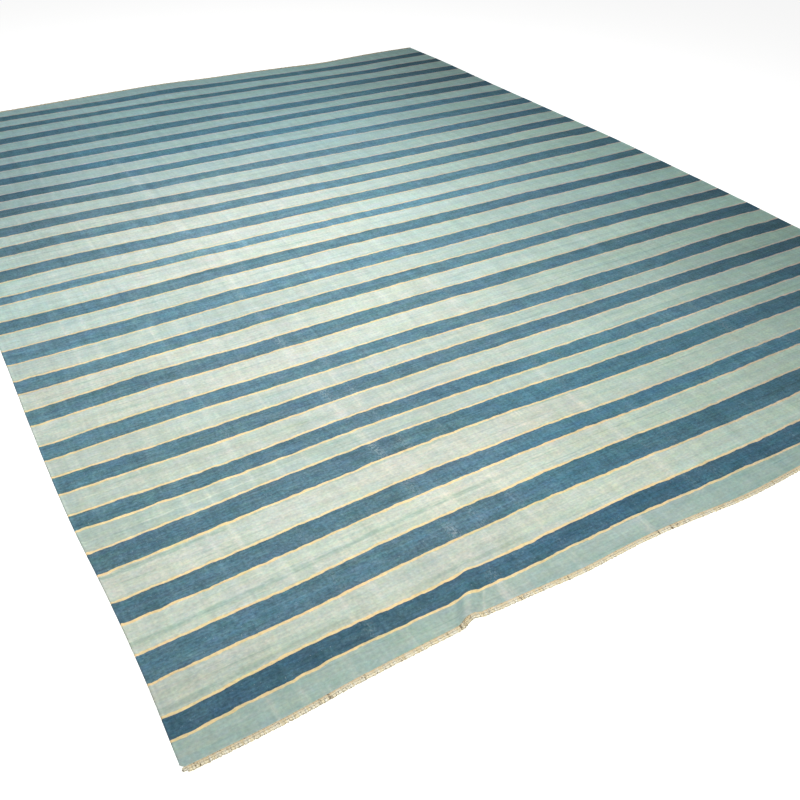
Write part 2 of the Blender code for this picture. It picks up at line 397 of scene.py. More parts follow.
# %% Write the maps and the dye
GREENS = [(stripe.green, stripe.green_turn, stripe.pale) for stripe in STRIPES]
GREENS = np.array(GREENS + [(LAST_GREEN, 0.0, LAST_PALE)])
BLUES = np.array([(stripe.blue, stripe.blue_turn) for stripe in STRIPES])


def nearest_yarns(count):
    """The places in the two tables of the green and the blue yarn nearest a stripe count."""
    number = int(count)
    green = number // 2 if number % 2 == 0 else (number - 1) // 2 + round(count - number)
    blue = (number - 1) // 2 if number % 2 else number // 2 - 1 + round(count - number)
    return green, min(max(blue, 0), len(BLUES) - 1)


mesh = cloth.data
loop_verts = np.empty(len(mesh.loops), int)
mesh.loops.foreach_get("vertex_index", loop_verts)
loop_faces = np.repeat(np.arange(len(mesh.polygons)), 4)
face_row = loop_faces // (column_count - 1)
loop_row, loop_column = np.divmod(loop_verts, column_count)
stripe_number = np.floor(row_stripe[face_row] + 1e-6).astype(int)
stripe_width = np.diff(np.array(lines), axis=0)[stripe_number]
width_here = np.take_along_axis(stripe_width, loop_column[:, None], axis=1)[:, 0]

cloth_map = mesh.uv_layers[0]
cloth_map.name = "cloth"
map_values = np.stack([across[loop_column], grid_y[loop_row, loop_column] - CORNER.y], axis=-1)
cloth_map.data.foreach_set("uv", map_values.ravel())
stripe_map = mesh.uv_layers.new(name="stripes")
stripe_map.data.foreach_set("uv", np.stack([width_here, row_stripe[loop_row]], axis=-1).ravel())

row_yarns = np.array([nearest_yarns(row_stripe[k] + 1e-3) for k in range(line_count - 1)])
green_here = GREENS[row_yarns[face_row, 0]]
blue_here = BLUES[row_yarns[face_row, 1]]
turned = across[loop_column] / CLOTH_WIDTH - 0.5
dye_values = np.ones((len(face_row), 4))
dye_values[:, 0] = green_here[:, 0] * (1 + green_here[:, 1] * turned)
dye_values[:, 1] = green_here[:, 2]
dye_values[:, 2] = blue_here[:, 0] * (1 + blue_here[:, 1] * turned)
dye = mesh.attributes.new("dye", "FLOAT_COLOR", "CORNER")
dye.data.foreach_set("color", dye_values.ravel())
print("dyes on", len(dye_values), "corners")

# %% [markdown]
# ## Thickness
# A bundle of warps makes a low rounded bead along each side. So Solidify copies the sheet upwards along
# its normals and closes the rim, and a vertex group scales the thickness from column to column.

# %% Grow the cloth's thickness
bead_shares = np.array(BEAD_HEIGHTS) * MM / BEAD_THICK
thick_share = np.full(column_count, CLOTH_THICK / BEAD_THICK)
thick_share[: len(bead_shares)] = bead_shares
thick_share[-len(bead_shares):] = bead_shares[::-1]
group = cloth.vertex_groups.new(name="thickness")
for column in range(column_count):
    members = list(range(column, line_count * column_count, column_count))
    group.add(members, float(thick_share[column]), "REPLACE")

thicken = cloth.modifiers.new("thickness", "SOLIDIFY")
thicken.thickness = BEAD_THICK
thicken.offset = 1.0
thicken.vertex_group = "thickness"
pick(cloth)
bpy.ops.object.modifier_apply(modifier=thicken.name)
bpy.ops.object.shade_smooth_by_angle(angle=math.radians(50))
lowest = min(vert.co.z for vert in cloth.data.vertices)
print("the cloth has", len(cloth.data.polygons), "faces, lowest point", round(lowest / MM, 2), "mm")

# %% [markdown]
# ## One knot
# At each end the warp comes out of the cloth in groups, and each group is tied in one overhand knot
# and clipped short. From a step away that reads as a rope of beads with small tails. Each could be a
# curve with a bevel, but hundreds of those are heavy. So one knot is modelled by hand with few faces: a
# six-sided strand that widens to its clipped tail, and a slanted ring around it for the loop.

# %% A knot's sizes
KNOT_SIDES = 6
STRAND_RADIUS = 2.8 * MM
LOOP_RADIUS = 2.7 * MM
LOOP_THICK = 2.5 * MM
LOOP_PLACE = 5.0 * MM
LOOP_SLANT = 28
TAIL_STEPS = ((2.0, 1.1), (4.6, 1.15), (4.2, 1.1), (2.4, 0.88))
print("a knot starts", 2 * STRAND_RADIUS / MM, "mm thick")

# %% Model the strand
deselect_all()
bpy.ops.mesh.primitive_circle_add(
    vertices=KNOT_SIDES, radius=STRAND_RADIUS, fill_type="NGON", rotation=(math.radians(90), 0, 0)
)
strand = bpy.context.object
strand.name = "knot_strand"
settle(strand)
bpy.ops.object.mode_set(mode="EDIT")
bpy.ops.mesh.select_all(action="SELECT")
for step, widening in TAIL_STEPS:
    bpy.ops.mesh.extrude_region_move(TRANSFORM_OT_translate={"value": (0, -step * MM, 0)})
    bpy.ops.transform.resize(value=(widening, 1, 1))
bpy.ops.object.mode_set(mode="OBJECT")
print("the strand is", round(strand.dimensions.y / MM, 1), "mm long")

# %% Add the loop around it
LOOP_SEGMENTS, LOOP_SIDES = 8, 5
deselect_all()
bpy.ops.mesh.primitive_torus_add(
    major_segments=LOOP_SEGMENTS,
    minor_segments=LOOP_SIDES,
    major_radius=LOOP_RADIUS,
    minor_radius=LOOP_THICK,
    location=(0, -LOOP_PLACE, 0),
    rotation=(math.radians(90), 0, math.radians(LOOP_SLANT)),
)
loop = bpy.context.object
loop.name = "knot_loop"
settle(loop)
pick(strand, loop)
bpy.ops.object.join()
knot = strand
knot.name = "knot"
bpy.ops.object.mode_set(mode="EDIT")
bpy.ops.mesh.select_all(action="SELECT")
bpy.ops.mesh.normals_make_consistent(inside=False)
bpy.ops.object.mode_set(mode="OBJECT")
print("one knot has", len(knot.data.polygons), "faces and is", tuple(knot.dimensions))

# %% [markdown]
# The tail is not a clean tube: it is a bundle of clipped threads. So the corners are pushed about, most
# of all near the tail's end, and the whole knot is pressed flatter, the tail most, because the rug has
# been walked on. Four knots are made this way, each with its own pushes, so that the row doesn't look
# stamped.

# %% Four uneven knots
KNOT_KINDS = 4
PRESSED = 0.60
TAIL_START = -7.0 * MM
TAIL_GROWS = 5 * MM  # over this length past its start, a tail gets its full share of pushes
TAIL_PUSH = 0.45 * MM
TAIL_FLATTER = 0.35
HEIGHT_PUSH = 0.2 * MM
kinds = []
hand = random.Random(5)
for kind in range(KNOT_KINDS):
    shape = knot.data.copy()
    for vert in shape.vertices:
        past = min(max((TAIL_START - vert.co.y) / TAIL_GROWS, 0), 1)
        vert.co.x += hand.uniform(-1, 1) * TAIL_PUSH * (0.25 + past)
        vert.co.y += hand.uniform(-1, 1) * TAIL_PUSH * (0.2 + 1.6 * past)
        flatter = PRESSED * (1 - TAIL_FLATTER * past)
        vert.co.z = vert.co.z * flatter + hand.uniform(-HEIGHT_PUSH, HEIGHT_PUSH)
    for face in shape.polygons:
        face.use_smooth = True
    kinds.append(shape)
bpy.data.objects.remove(knot)
print(len(kinds), "kinds of knot")

# %% [markdown]
# ## The two rows of knots
# The knots follow the edge of the cloth at a pitch of about five millimetres, so close that they read
# as one rope, no two the same size or angle. Here and there a wider gap parts them. Each knot is a copy
# with its own mesh, laid at its place, and the copies of one end are then joined. A colour on each
# point keeps three things for the finish: this knot's own tone, how far along it the point is, and
# how much painted shade and dirt darken the knot.

# %% How the knots of a row vary
KNOT_PITCH = 4.4 * MM
KNOT_SPREAD = 0.35 * MM
ROOT_INSIDE = 1.0 * MM
KNOT_HEIGHT = 3.6 * MM
KNOT_LENGTH = 13.0 * MM
GAP_ODDS = 0.02
WIDE_GAP = 2.4 * MM
GAP_VARIES = 0.5, 1.2
KNOT_WIDTHS = 1.02, 1.26
KNOT_LENGTHS = 1.16, 1.30
KNOT_HEIGHTS = 0.95, 1.15
END_KNOT_SIZE = Vector((1.80, 0.80, 1.40))
# odds that a knot is made darker by painted shade and dirt, then its share, and the share of all others
SHADE_AND_DIRT_ODDS = 0.045
DEEP_SHADE_AND_DIRT = 0.4, 1.0
FAINT_SHADE_AND_DIRT = 0.0, 0.08
LOOK_AHEAD = 4 * MM
FOLLOWS_EDGE = 0.7
TURN_VARIES = 4
DROOP = -3, 4
MOST_DROOP = 15


def dress(shape, tone, shade_and_dirt):
    """Keeps a knot's tone, the way along it, and its share of painted shade and dirt on its points."""
    yarn = shape.attributes.new("yarn", "FLOAT_COLOR", "POINT")
    for vert, kept in zip(shape.vertices, yarn.data):
        kept.color = (tone, min(max(-vert.co.y / KNOT_LENGTH, 0), 1), shade_and_dirt, 1)


print("the knots are", round(KNOT_PITCH * sum(KNOT_WIDTHS) / 2 / MM, 1), "mm apart")

# %% Lay the knots along an edge
def knot_row(name, rim, outward, seed, ends):
    """One joined row of knots along an edge, whose tails point outward (-1 is the near end)."""
    rng = random.Random(seed)
    copies = []
    x = ends[0]
    while x < ends[1]:
        edge = float(smooth_curve(rim, np.array([x]))[0])
        ahead = float(smooth_curve(rim, np.array([x + LOOK_AHEAD]))[0])
        along = math.atan2(ahead - edge, LOOK_AHEAD)
        raised = float(lift(np.array([x]), np.array([edge]))[0])
        shape = rng.choice(kinds).copy()
        # a few knots get a large share of painted shade and dirt
        shade_and_dirt = rng.uniform(*(DEEP_SHADE_AND_DIRT if rng.random() < SHADE_AND_DIRT_ODDS else FAINT_SHADE_AND_DIRT))
        dress(shape, rng.random(), shade_and_dirt)
        size = Vector((rng.uniform(*KNOT_WIDTHS), rng.uniform(*KNOT_LENGTHS), rng.uniform(*KNOT_HEIGHTS)))
        if not copies:
            size = END_KNOT_SIZE
        turned = along * FOLLOWS_EDGE + math.radians(rng.gauss(0, TURN_VARIES))
        turn = Matrix.Rotation(turned, 4, "Z")
        if outward > 0:
            turn = turn @ Matrix.Rotation(math.pi, 4, "Z")
        droop = rng.uniform(*DROOP) + min(raised / MM, MOST_DROOP)
        drop = Matrix.Rotation(math.radians(droop), 4, "X")
        place = Vector((x, edge - outward * ROOT_INSIDE, raised + KNOT_HEIGHT * size.z))
        shape.transform(Matrix.Translation(place) @ turn @ drop @ Matrix.Diagonal(size.to_4d()))
        copy = bpy.data.objects.new(name, shape)
        bpy.context.scene.collection.objects.link(copy)
        copies.append(copy)
        x += KNOT_PITCH * size.x + rng.gauss(0, KNOT_SPREAD)
        if rng.random() < GAP_ODDS:
            x += WIDE_GAP * rng.uniform(*GAP_VARIES)
    pick(*copies)
    bpy.ops.object.join()
    row = copies[0]
    row.name = row.data.name = name
    print(name, "has", len(copies), "knots and", len(row.data.polygons), "faces")
    return row


near_knots = knot_row("near_knots", NEAR_RIM, -1, 11, (NEAR_RIM[0][0] + 7 * MM, NEAR_RIM[-1][0]))
far_knots = knot_row("far_knots", FAR_RIM, 1, 12, (FAR_RIM[0][0] + 6 * MM, FAR_RIM[-1][0]))

# %% [markdown]
# ## A few helpers for finishes
# A finish is a graph of nodes. These helpers add a node, link it or set it, do a sum on numbers, blend
# two colours, and give soft noise or a smooth step.

# %% Add and link nodes
def new_finish(name):
    """A new material, its node tree and its Principled shader."""
    finish = bpy.data.materials.new(name)
    finish.use_nodes = True
    tree = finish.node_tree
    return finish, tree, tree.nodes["Principled BSDF"]


def plug(tree, socket, value):
    """Links a socket of another node to this one, or sets this one's own value."""
    if isinstance(value, bpy.types.NodeSocket):
        tree.links.new(value, socket)
    else:
        socket.default_value = value


def add(tree, kind, inputs=(), **settings):
    """A new node with its settings, and with inputs given as (name, value or socket) pairs."""
    node = tree.nodes.new("ShaderNode" + kind)
    for setting, value in settings.items():
        setattr(node, setting, value)
    for name, value in inputs:
        plug(tree, node.inputs[name], value)
    return node


# %% Sums, blends, steps and noise
def maths(tree, operation, *values):
    """The result of a Math node on numbers or sockets."""
    node = add(tree, "Math", operation=operation)
    for socket, value in zip(node.inputs, values):
        plug(tree, socket, value)
    return node.outputs[0]


def in_turn(operation):
    """A helper that does one operation on several numbers or sockets, one after another."""

    def run(tree, first, *others):
        for other in others:
            first = maths(tree, operation, first, other)
        return first

    return run


plus, less, times, largest = map(in_turn, ("ADD", "SUBTRACT", "MULTIPLY", "MAXIMUM"))


def blend(tree, share, low, high, way="MIX"):
    """The colour a share from 0 to 1 of the way from low to high, or mixed in another way."""
    node = add(tree, "Mix", data_type="RGBA", blend_type=way)
    for socket, value in ((node.inputs[0], share), (node.inputs[6], low), (node.inputs[7], high)):
        plug(tree, socket, value)
    return node.outputs[2]


def ramp_over(tree, value, low, high):
    """A share that rises smoothly from 0 at low to 1 at high."""
    pairs = (("Value", value), ("From Min", low), ("From Max", high))
    return add(tree, "MapRange", pairs, interpolation_type="SMOOTHSTEP").outputs[0]


def patches(tree, place, scale, detail=2.0, rough=0.5):
    """Soft random patches, from about 0.2 to 0.8, where place is a vector socket."""
    pairs = (("Vector", place), ("Scale", scale), ("Detail", detail), ("Roughness", rough))
    return add(tree, "TexNoise", pairs).outputs[0]


def stretched(tree, place, scale):
    """A place stretched or squeezed along its axes, for a pattern with a grain."""
    return add(tree, "Mapping", (("Vector", place), ("Scale", scale))).outputs[0]


def grained(tree, place, across, up, detail=2.0, rough=0.5):
    """Soft random patches, so many to a metre across the cloth and so many up it."""
    return patches(tree, stretched(tree, place, (across, up, 1)), 1.0, detail, rough)


# %% [markdown]
# ## The finish of the woven field
# Weft yarn makes the colour. A picture of the stripes could be laid over the cloth, but nodes stay sharp
# from close by, and each mark can be changed by itself. First they work out which yarn lies here. The
# count wanders a few millimetres, because no weft is straight, and a cream line a few wefts wide parts
# each green stripe from its blue neighbours.

# %% Which yarn lies here
PIN_WIDTH = 8.6 * MM
PIN_VARIES = 4.0 * MM
LONG_WANDER = 14 * MM
SHORT_WANDER = 12 * MM

weft, tree, surface = new_finish("weft_cotton")
across_up = add(tree, "UVMap", uv_map="cloth").outputs[0]
stripe_uv = add(tree, "SeparateXYZ", (("Vector", add(tree, "UVMap", uv_map="stripes").outputs[0]),))
stripe_wide, stripe_count = stripe_uv.outputs[0], stripe_uv.outputs[1]
cloth_uv = add(tree, "SeparateXYZ", (("Vector", across_up),))
across_here, up_here = cloth_uv.outputs[0], cloth_uv.outputs[1]

wander = 0.0
for grain, size in (((22, 30), SHORT_WANDER), ((3, 9), LONG_WANDER)):
    aside = less(tree, grained(tree, across_up, *grain), 0.5)
    wander = maths(tree, "MULTIPLY_ADD", aside, size, wander)
count = plus(tree, stripe_count, maths(tree, "DIVIDE", wander, stripe_wide))
through = maths(tree, "FRACT", count)
nearest = maths(tree, "MINIMUM", through, less(tree, 1.0, through))
from_edge = times(tree, nearest, stripe_wide)
odd = maths(tree, "MODULO", maths(tree, "FLOOR", count), 2.0)
is_blue = maths(tree, "GREATER_THAN", odd, 0.5)
is_green = less(tree, 1.0, is_blue)
not_first = maths(tree, "GREATER_THAN", count, 0.5)
not_last = maths(tree, "LESS_THAN", count, STRIPE_COUNT - 0.5)
pin_uneven = grained(tree, across_up, 60, 20)
pin_here = maths(tree, "MULTIPLY_ADD", pin_uneven, PIN_VARIES, PIN_WIDTH - PIN_VARIES / 2)
in_pin = maths(tree, "LESS_THAN", from_edge, pin_here)
pin_share = times(tree, in_pin, is_green, not_first, not_last)
print("the finish knows", len(tree.nodes), "nodes so far")

# %% [markdown]
# ## The dyed yarns
# Green runs between three cottons: teal at the two ends, and in between a sage that sun and washing
# have bleached to a pale green, most of all a metre from the left side. Blue runs from a faded denim to
# a fresher one at the near end, the right side and the far end. The depth of each comes from the mesh.
# Nothing here is random: each change across or up the rug is a few given stops.

# %% Numbers and colours that change over the rug
def scaled(tree, colour, amount):
    """A colour times a number."""
    node = add(tree, "VectorMath", operation="SCALE")
    plug(tree, node.inputs[0], colour)
    plug(tree, node.inputs["Scale"], amount)
    return node.outputs[0]


def steady(tree, value, low, high, at_low, at_high):
    """A number that goes evenly from at_low to at_high as value goes from low to high."""
    reach = (("Value", value), ("From Min", low), ("From Max", high))
    heights = (("To Min", at_low), ("To Max", at_high))
    return add(tree, "MapRange", reach + heights).outputs[0]


def curve_over(tree, value, stops, span):
    """A number that follows (place, height) stops as value goes from 0 to span."""
    node = add(tree, "ValToRGB", (("Fac", maths(tree, "DIVIDE", value, span)),))
    ramp = node.color_ramp
    ramp.elements[0].position = stops[0][0] / span
    ramp.elements[1].position = stops[-1][0] / span
    for place, height in stops[1:-1]:
        ramp.elements.new(place / span)
    for stop, (place, height) in zip(ramp.elements, stops):
        stop.color = (height, height, height, 1)
    return node.outputs[0]


# %% The green yarn
TEAL = (0.375, 0.600, 0.590, 1)
PALE_GREEN = (0.640, 0.690, 0.600, 1)
SAGE = (0.405, 0.665, 0.610, 1)
BLEACHED = (
    (0.10, 0.90),
    (0.50, 0.87),
    (0.75, 0.87),
    (1.00, 0.96),
    (1.30, 0.88),
    (1.72, 0.85),
    (1.82, 0.70),
    (2.15, 0.58),
    (2.70, 0.40),
    (3.10, 0.24),
    (3.50, 0.12),
)
dyes = add(tree, "SeparateColor", (("Color", add(tree, "Attribute", attribute_name="dye").outputs[0]),))
green_depth, green_pale, blue_depth = dyes.outputs[0], dyes.outputs[1], dyes.outputs[2]
bleached = curve_over(tree, across_here, BLEACHED, CLOTH_WIDTH)
aqua_side = times(tree, steady(tree, across_here, 0.7, 0.0, 0.0, 0.5), ramp_over(tree, up_here, 1.6, 2.3))
bleached = times(tree, bleached, less(tree, 1.0, aqua_side))
washed = blend(tree, bleached, SAGE, PALE_GREEN)
left_bleach = steady(tree, across_here, 0.9, 0.0, 1.0, 1.05)
green_depth = times(tree, green_depth, left_bleach)
green_yarn = scaled(tree, blend(tree, green_pale, TEAL, washed), green_depth)
print("the green bleaches most at", max(BLEACHED, key=lambda stop: stop[1])[0], "m across")

# %% The blue yarn
FADED_DENIM = (0.120, 0.239, 0.296, 1)
FRESH_DENIM = (0.086, 0.232, 0.312, 1)
fresh_far = ramp_over(tree, up_here, 3.0, 3.7)
fresh_right = steady(tree, across_here, 1.3, 3.4, 0.0, 1.0)
fresh_left = steady(tree, across_here, 0.8, 0.2, 0.0, 0.25)
fresh_near = steady(tree, up_here, 0.20, 0.24, 0.6, 0.0)
fresh_corner = steady(tree, across_here, 1.0, 1.5, 0.0, 0.9)
fresh_corner = times(tree, fresh_corner, steady(tree, up_here, 1.2, 0.8, 0.0, 1.0))
fresh = largest(tree, fresh_right, fresh_corner, fresh_left, fresh_far, fresh_near)
blue_yarn = blend(tree, fresh, FADED_DENIM, FRESH_DENIM)
side_right = steady(tree, across_here, 2.6, 3.6, 0.0, 0.34)
side_left = steady(tree, across_here, 0.9, 0.1, 0.0, 0.22)
side_left = times(tree, side_left, ramp_over(tree, up_here, 1.8, 2.7))
sides = less(tree, 1.0, side_right, side_left)
blue_yarn = scaled(tree, blue_yarn, times(tree, blue_depth, sides))
print("the finish now has", len(tree.nodes), "nodes")

# %% [markdown]
# Handwoven cotton is never one even tone. Broad clouds are the dye itself. Upright bands, a finger wide,
# are where the warp lies tighter or slacker and the weft stands prouder. Long low ones are single
# bobbins. Small clouds and grain are the yarn's own thick and thin places. Each is noise, squeezed one
# way or the other. The deep blue shows every one of them more than the green does. Red and blue also
# drift by themselves, each with its own noise, because dye and dirt change the hue in patches.

# %% Clouds, bands, bobbins and grain
Unevenness = namedtuple("Unevenness", "across up detail green blue hue")
UNEVEN_YARN = (
    Unevenness(0.9, 1.6, 2.0, 0.16, 0.20, 0.05),
    Unevenness(26, 1.5, 2.5, 0.15, 0.24, 0.05),
    Unevenness(70, 7, 2.0, 0.10, 0.26, 0.05),
    Unevenness(1.6, 26, 3.0, 0.17, 0.30, 0.14),
    Unevenness(5, 120, 2.0, 0.13, 0.42, 0.08),
    Unevenness(14, 30, 4.0, 0.18, 0.48, 0.18),
    Unevenness(90, 130, 2.0, 0.26, 0.70, 0.16),
)
YARN_ROUGH = 0.6
CLOUD_HUE = 0.3
RED_DRIFT = (1.6, 3.0)
BLUE_DRIFT = (1.3, 2.2)
shade = 1.0
redder = 0.0
bluer = 0.0
for number, kind in enumerate(UNEVEN_YARN):
    place = stretched(tree, across_up, (kind.across, kind.up, 1))
    cloud = less(tree, patches(tree, place, 1.0, kind.detail, YARN_ROUGH), 0.5)
    depth = steady(tree, is_blue, 0, 1, 2 * kind.green, 2 * kind.blue)
    shade = times(tree, shade, maths(tree, "MULTIPLY_ADD", cloud, depth, 1.0))
    elsewhere = add(tree, "VectorMath", operation="ADD")
    plug(tree, elsewhere.inputs[0], place)
    elsewhere.inputs[1].default_value = (0.35, 0.35, 7.0 + number)
    settings = (("Vector", elsewhere.outputs[0]), ("Scale", 1.0), ("Detail", kind.detail))
    noises = add(tree, "TexNoise", settings + (("Roughness", YARN_ROUGH),))
    others = add(tree, "SeparateColor", (("Color", noises.outputs["Color"]),))
    red_drift = less(tree, others.outputs[0], 0.5)
    blue_drift = less(tree, others.outputs[1], 0.5)
    more_red = maths(tree, "MULTIPLY_ADD", cloud, CLOUD_HUE, red_drift)
    less_blue = maths(tree, "MULTIPLY_ADD", cloud, CLOUD_HUE, blue_drift)
    redder = maths(tree, "MULTIPLY_ADD", more_red, kind.hue, redder)
    bluer = maths(tree, "MULTIPLY_ADD", less_blue, -kind.hue, bluer)
print("unevenness in", len(UNEVEN_YARN), "sizes")

# %% Turn the drift into a tint
redder = times(tree, redder, steady(tree, is_blue, 0, 1, *RED_DRIFT))
deeper_right = steady(tree, across_here, 2.8, 3.6, 0.0, -0.07)
redder = maths(tree, "MULTIPLY_ADD", is_blue, deeper_right, redder)
bluer = times(tree, bluer, steady(tree, is_blue, 0, 1, *BLUE_DRIFT))
near_end_hue = steady(tree, up_here, 0.20, 0.24, -0.05, 0.0)
length_hue = steady(tree, up_here, 0.2, 2.4, 0.035, -0.025)
green_hue = plus(tree, length_hue, steady(tree, across_here, 2.1, 3.3, 0.0, 0.045))
hue = maths(tree, "MULTIPLY_ADD", is_green, green_hue, times(tree, is_blue, near_end_hue))
tint = add(tree, "CombineColor")
plug(tree, tint.inputs[0], plus(tree, 1.0, hue, redder))
plug(tree, tint.inputs[1], maths(tree, "MULTIPLY_ADD", hue, 0.25, 1.0))
plug(tree, tint.inputs[2], plus(tree, less(tree, 1.0, hue), bluer))
print("the finish now has", len(tree.nodes), "nodes")

# %% [markdown]
# Abrash is the weaver's own mark: a bobbin a little darker or lighter than the last one gives a line
# or a band along the weft. A few strong ones are listed, each at a count of stripes, with how
# far it drifts up per third of the rug's width, its half width in millimetres and its two ends in
# metres across. Faint ones are scattered by noise.

# %% Abrash
Streak = namedtuple("Streak", "count drift thick start end strength")
TEAL_STREAKS = (
    Streak(2.20, 0.03, 12, -0.2, 0.62, 0.55),
    Streak(2.24, 0.00, 11, 0.70, 1.25, 0.70),
    Streak(2.42, 0.00, 5, 0.85, 1.20, 0.45),
    Streak(4.34, 0.16, 13, -0.3, 1.35, 0.70),
    Streak(4.28, 0.05, 9, -0.3, 0.60, 0.35),
    Streak(4.62, 0.00, 4, 1.20, 2.10, 0.65),
    Streak(4.74, 0.00, 3, 1.30, 1.80, 0.45),
    Streak(6.84, 0.02, 12, -0.4, 0.55, 0.85),
    Streak(6.90, 0.00, 6, 0.30, 1.90, 0.55),
    Streak(6.72, 0.00, 4, 1.90, 2.60, 0.50),
    Streak(14.3, 0.05, 6, 1.80, 3.20, 0.55),
    Streak(20.6, 0.00, 7, 0.20, 1.40, 0.40),
)
PALE_STREAKS = (
    Streak(8.42, 0.06, 5.0, 0.05, 0.75, 0.80),
    Streak(8.60, 0.02, 2.0, 0.20, 0.90, 0.60),
    Streak(4.75, 0.00, 5.0, 0.30, 1.10, 0.45),
)
STREAK_FADE = 0.25
streak_breaks = grained(tree, across_up, 9, 90, 3.0, 0.6)


def streak_share(tree, streak):
    """How strongly one streak shows: 1 on its line, fading out across it and at its two ends."""
    middle = steady(tree, across_here, 0.0, CLOTH_WIDTH, streak.count, streak.count + streak.drift * 3)
    away = times(tree, less(tree, count, middle), stripe_wide)
    line = ramp_over(tree, maths(tree, "ABSOLUTE", away), streak.thick * MM, streak.thick * MM * 0.3)
    starts = ramp_over(tree, across_here, streak.start, streak.start + STREAK_FADE)
    ends = ramp_over(tree, across_here, streak.end, streak.end - STREAK_FADE)
    whole = steady(tree, streak_breaks, 0.35, 0.6, 0.35, 1.0)
    return times(tree, line, whole, starts, ends, streak.strength)


def strongest(tree, streaks):
    """The strongest of several streaks at each place."""
    return largest(tree, *(streak_share(tree, streak) for streak in streaks))


print(len(TEAL_STREAKS), "teal streaks and", len(PALE_STREAKS), "pale ones")

# %% Lay the streaks over the green
FAINT_STREAKS = 0.50
TEAL_STRENGTH = 0.75
PALE_STRENGTH = 0.6
PALE_COTTON = (0.82, 0.84, 0.78, 1)
scatter = grained(tree, across_up, 1.7, 75, 3.0, 0.6)
faint = times(tree, ramp_over(tree, scatter, 0.56, 0.72), FAINT_STREAKS)
teal_share = times(tree, largest(tree, strongest(tree, TEAL_STREAKS), faint), TEAL_STRENGTH)
green_yarn = blend(tree, teal_share, green_yarn, TEAL, "MULTIPLY")
pale_share = times(tree, strongest(tree, PALE_STREAKS), PALE_STRENGTH)
green_yarn = blend(tree, pale_share, green_yarn, PALE_COTTON)
print("with the streaks it has", len(tree.nodes), "nodes")

# %% [markdown]
# Over the green there is one more mark of wear. Upright bands, one to four centimetres wide, are
# bleached nearly white, most of them in the left half where the rug was folded and rubbed. Their
# places across the rug are listed, and noise lets each fade in and out along its length.

# %% Bleached bands along the warp
Band = namedtuple("Band", "across wide strength")
WHITE_BANDS = (
    Band(0.25, 9, 0.5),
    Band(0.33, 12, 0.6),
    Band(0.40, 10, 0.6),
    Band(0.47, 14, 0.5),
    Band(0.55, 12, 0.7),
    Band(0.65, 16, 0.7),
    Band(0.75, 12, 0.6),
    Band(0.97, 26, 1.0),
    Band(1.05, 14, 0.9),
    Band(1.22, 16, 0.6),
    Band(1.50, 20, 0.7),
    Band(1.74, 16, 0.8),
    Band(2.26, 12, 0.5),
    Band(2.62, 14, 0.5),
)
WHITE_COTTON = (0.86, 0.86, 0.78, 1)
bleach = 0.0
for band in WHITE_BANDS:
    away = maths(tree, "ABSOLUTE", less(tree, across_here, band.across))
    here = ramp_over(tree, away, band.wide * 1.3 * MM, band.wide * 0.2 * MM)
    bleach = largest(tree, bleach, times(tree, here, band.strength))
fading = grained(tree, across_up, 6, 2.2, 3.0, 0.6)
threads = grained(tree, across_up, 150, 9, 2.0, 0.6)
faded = steady(tree, up_here, 2.4, 3.8, 1.0, 0.3)
threaded = steady(tree, threads, 0.3, 0.7, 0.10, 0.60)
bleach = times(tree, bleach, ramp_over(tree, fading, 0.34, 0.62), faded, threaded)
green_yarn = blend(tree, bleach, green_yarn, WHITE_COTTON)
print(len(WHITE_BANDS), "bleached bands")

# %% [markdown]
# The ruck has painted light and shade of its own. A painted shade darkens its left foot, and painted
# highlights run a little paler along its crest and its right shoulder. All three lines follow the ruck's
# heading and fade out up the rug.

# %% Painted shade and highlights on the ruck
# dark teal of the painted shade on the ruck's steep left foot
PAINTED_FOLD_SHADE = (0.22, 0.36, 0.36, 1)
RUCK_TURN = math.radians(RUCK.heading)
ruck_dx = times(tree, less(tree, across_here, RUCK.across), math.sin(RUCK_TURN))
ruck_dy = times(tree, less(tree, up_here, RUCK.up), math.cos(RUCK_TURN))
ruck_aside = less(tree, ruck_dx, ruck_dy)
ruck_fade = ramp_over(tree, up_here, 0.19, 0.06)


def ruck_line(tree, aside_mm, wide_mm, strength):
    """How strongly a line that runs along the ruck shows, fading up the rug."""
    away = maths(tree, "ABSOLUTE", less(tree, ruck_aside, aside_mm * MM))
    line = ramp_over(tree, away, wide_mm * MM, wide_mm * 0.2 * MM)
    return times(tree, line, ruck_fade, strength)


# painted shade along the ruck's left foot
green_yarn = blend(tree, ruck_line(tree, -17, 17, 0.34), green_yarn, PAINTED_FOLD_SHADE)
# painted highlights: paler lines along the ruck's crest and its right shoulder
green_yarn = blend(tree, ruck_line(tree, 7, 14, 0.17), green_yarn, WHITE_COTTON)
green_yarn = blend(tree, ruck_line(tree, 52, 7, 0.18), green_yarn, WHITE_COTTON)
print("the ruck runs", RUCK.heading, "degrees from the near end")

# %% [markdown]
# Now the yarns come together: green, blue, and on top of them the cream lines, which have greyed towards
# the far end and the right side. The unevenness multiplies all of them, so it runs on through a stripe's
# edge as the warp does.

# %% Put the yarns together
CREAM = (0.95, 0.76, 0.42, 1)
GREYED_CREAM = (0.64, 0.63, 0.60, 1)
yarn = blend(tree, is_blue, green_yarn, blue_yarn)
greyed_far = steady(tree, up_here, 2.4, 3.6, 0, 1)
greyed_right = steady(tree, across_here, 1.6, 3.2, 0, 0.85)
greyed = largest(tree, greyed_far, greyed_right)
yarn = blend(tree, pin_share, yarn, blend(tree, greyed, CREAM, GREYED_CREAM))
yarn = blend(tree, 1.0, scaled(tree, yarn, shade), tint.outputs[0], "MULTIPLY")
print("the finish knows", len(tree.nodes), "nodes")

# %% [markdown]
# Where the rug was folded, its crests wore pale in a speckled line along the warp. A colour ramp across
# the rug holds one narrow peak for each fold line, with its strength. Noise along the warp breaks each
# line up, and fine noise turns what is left into specks.

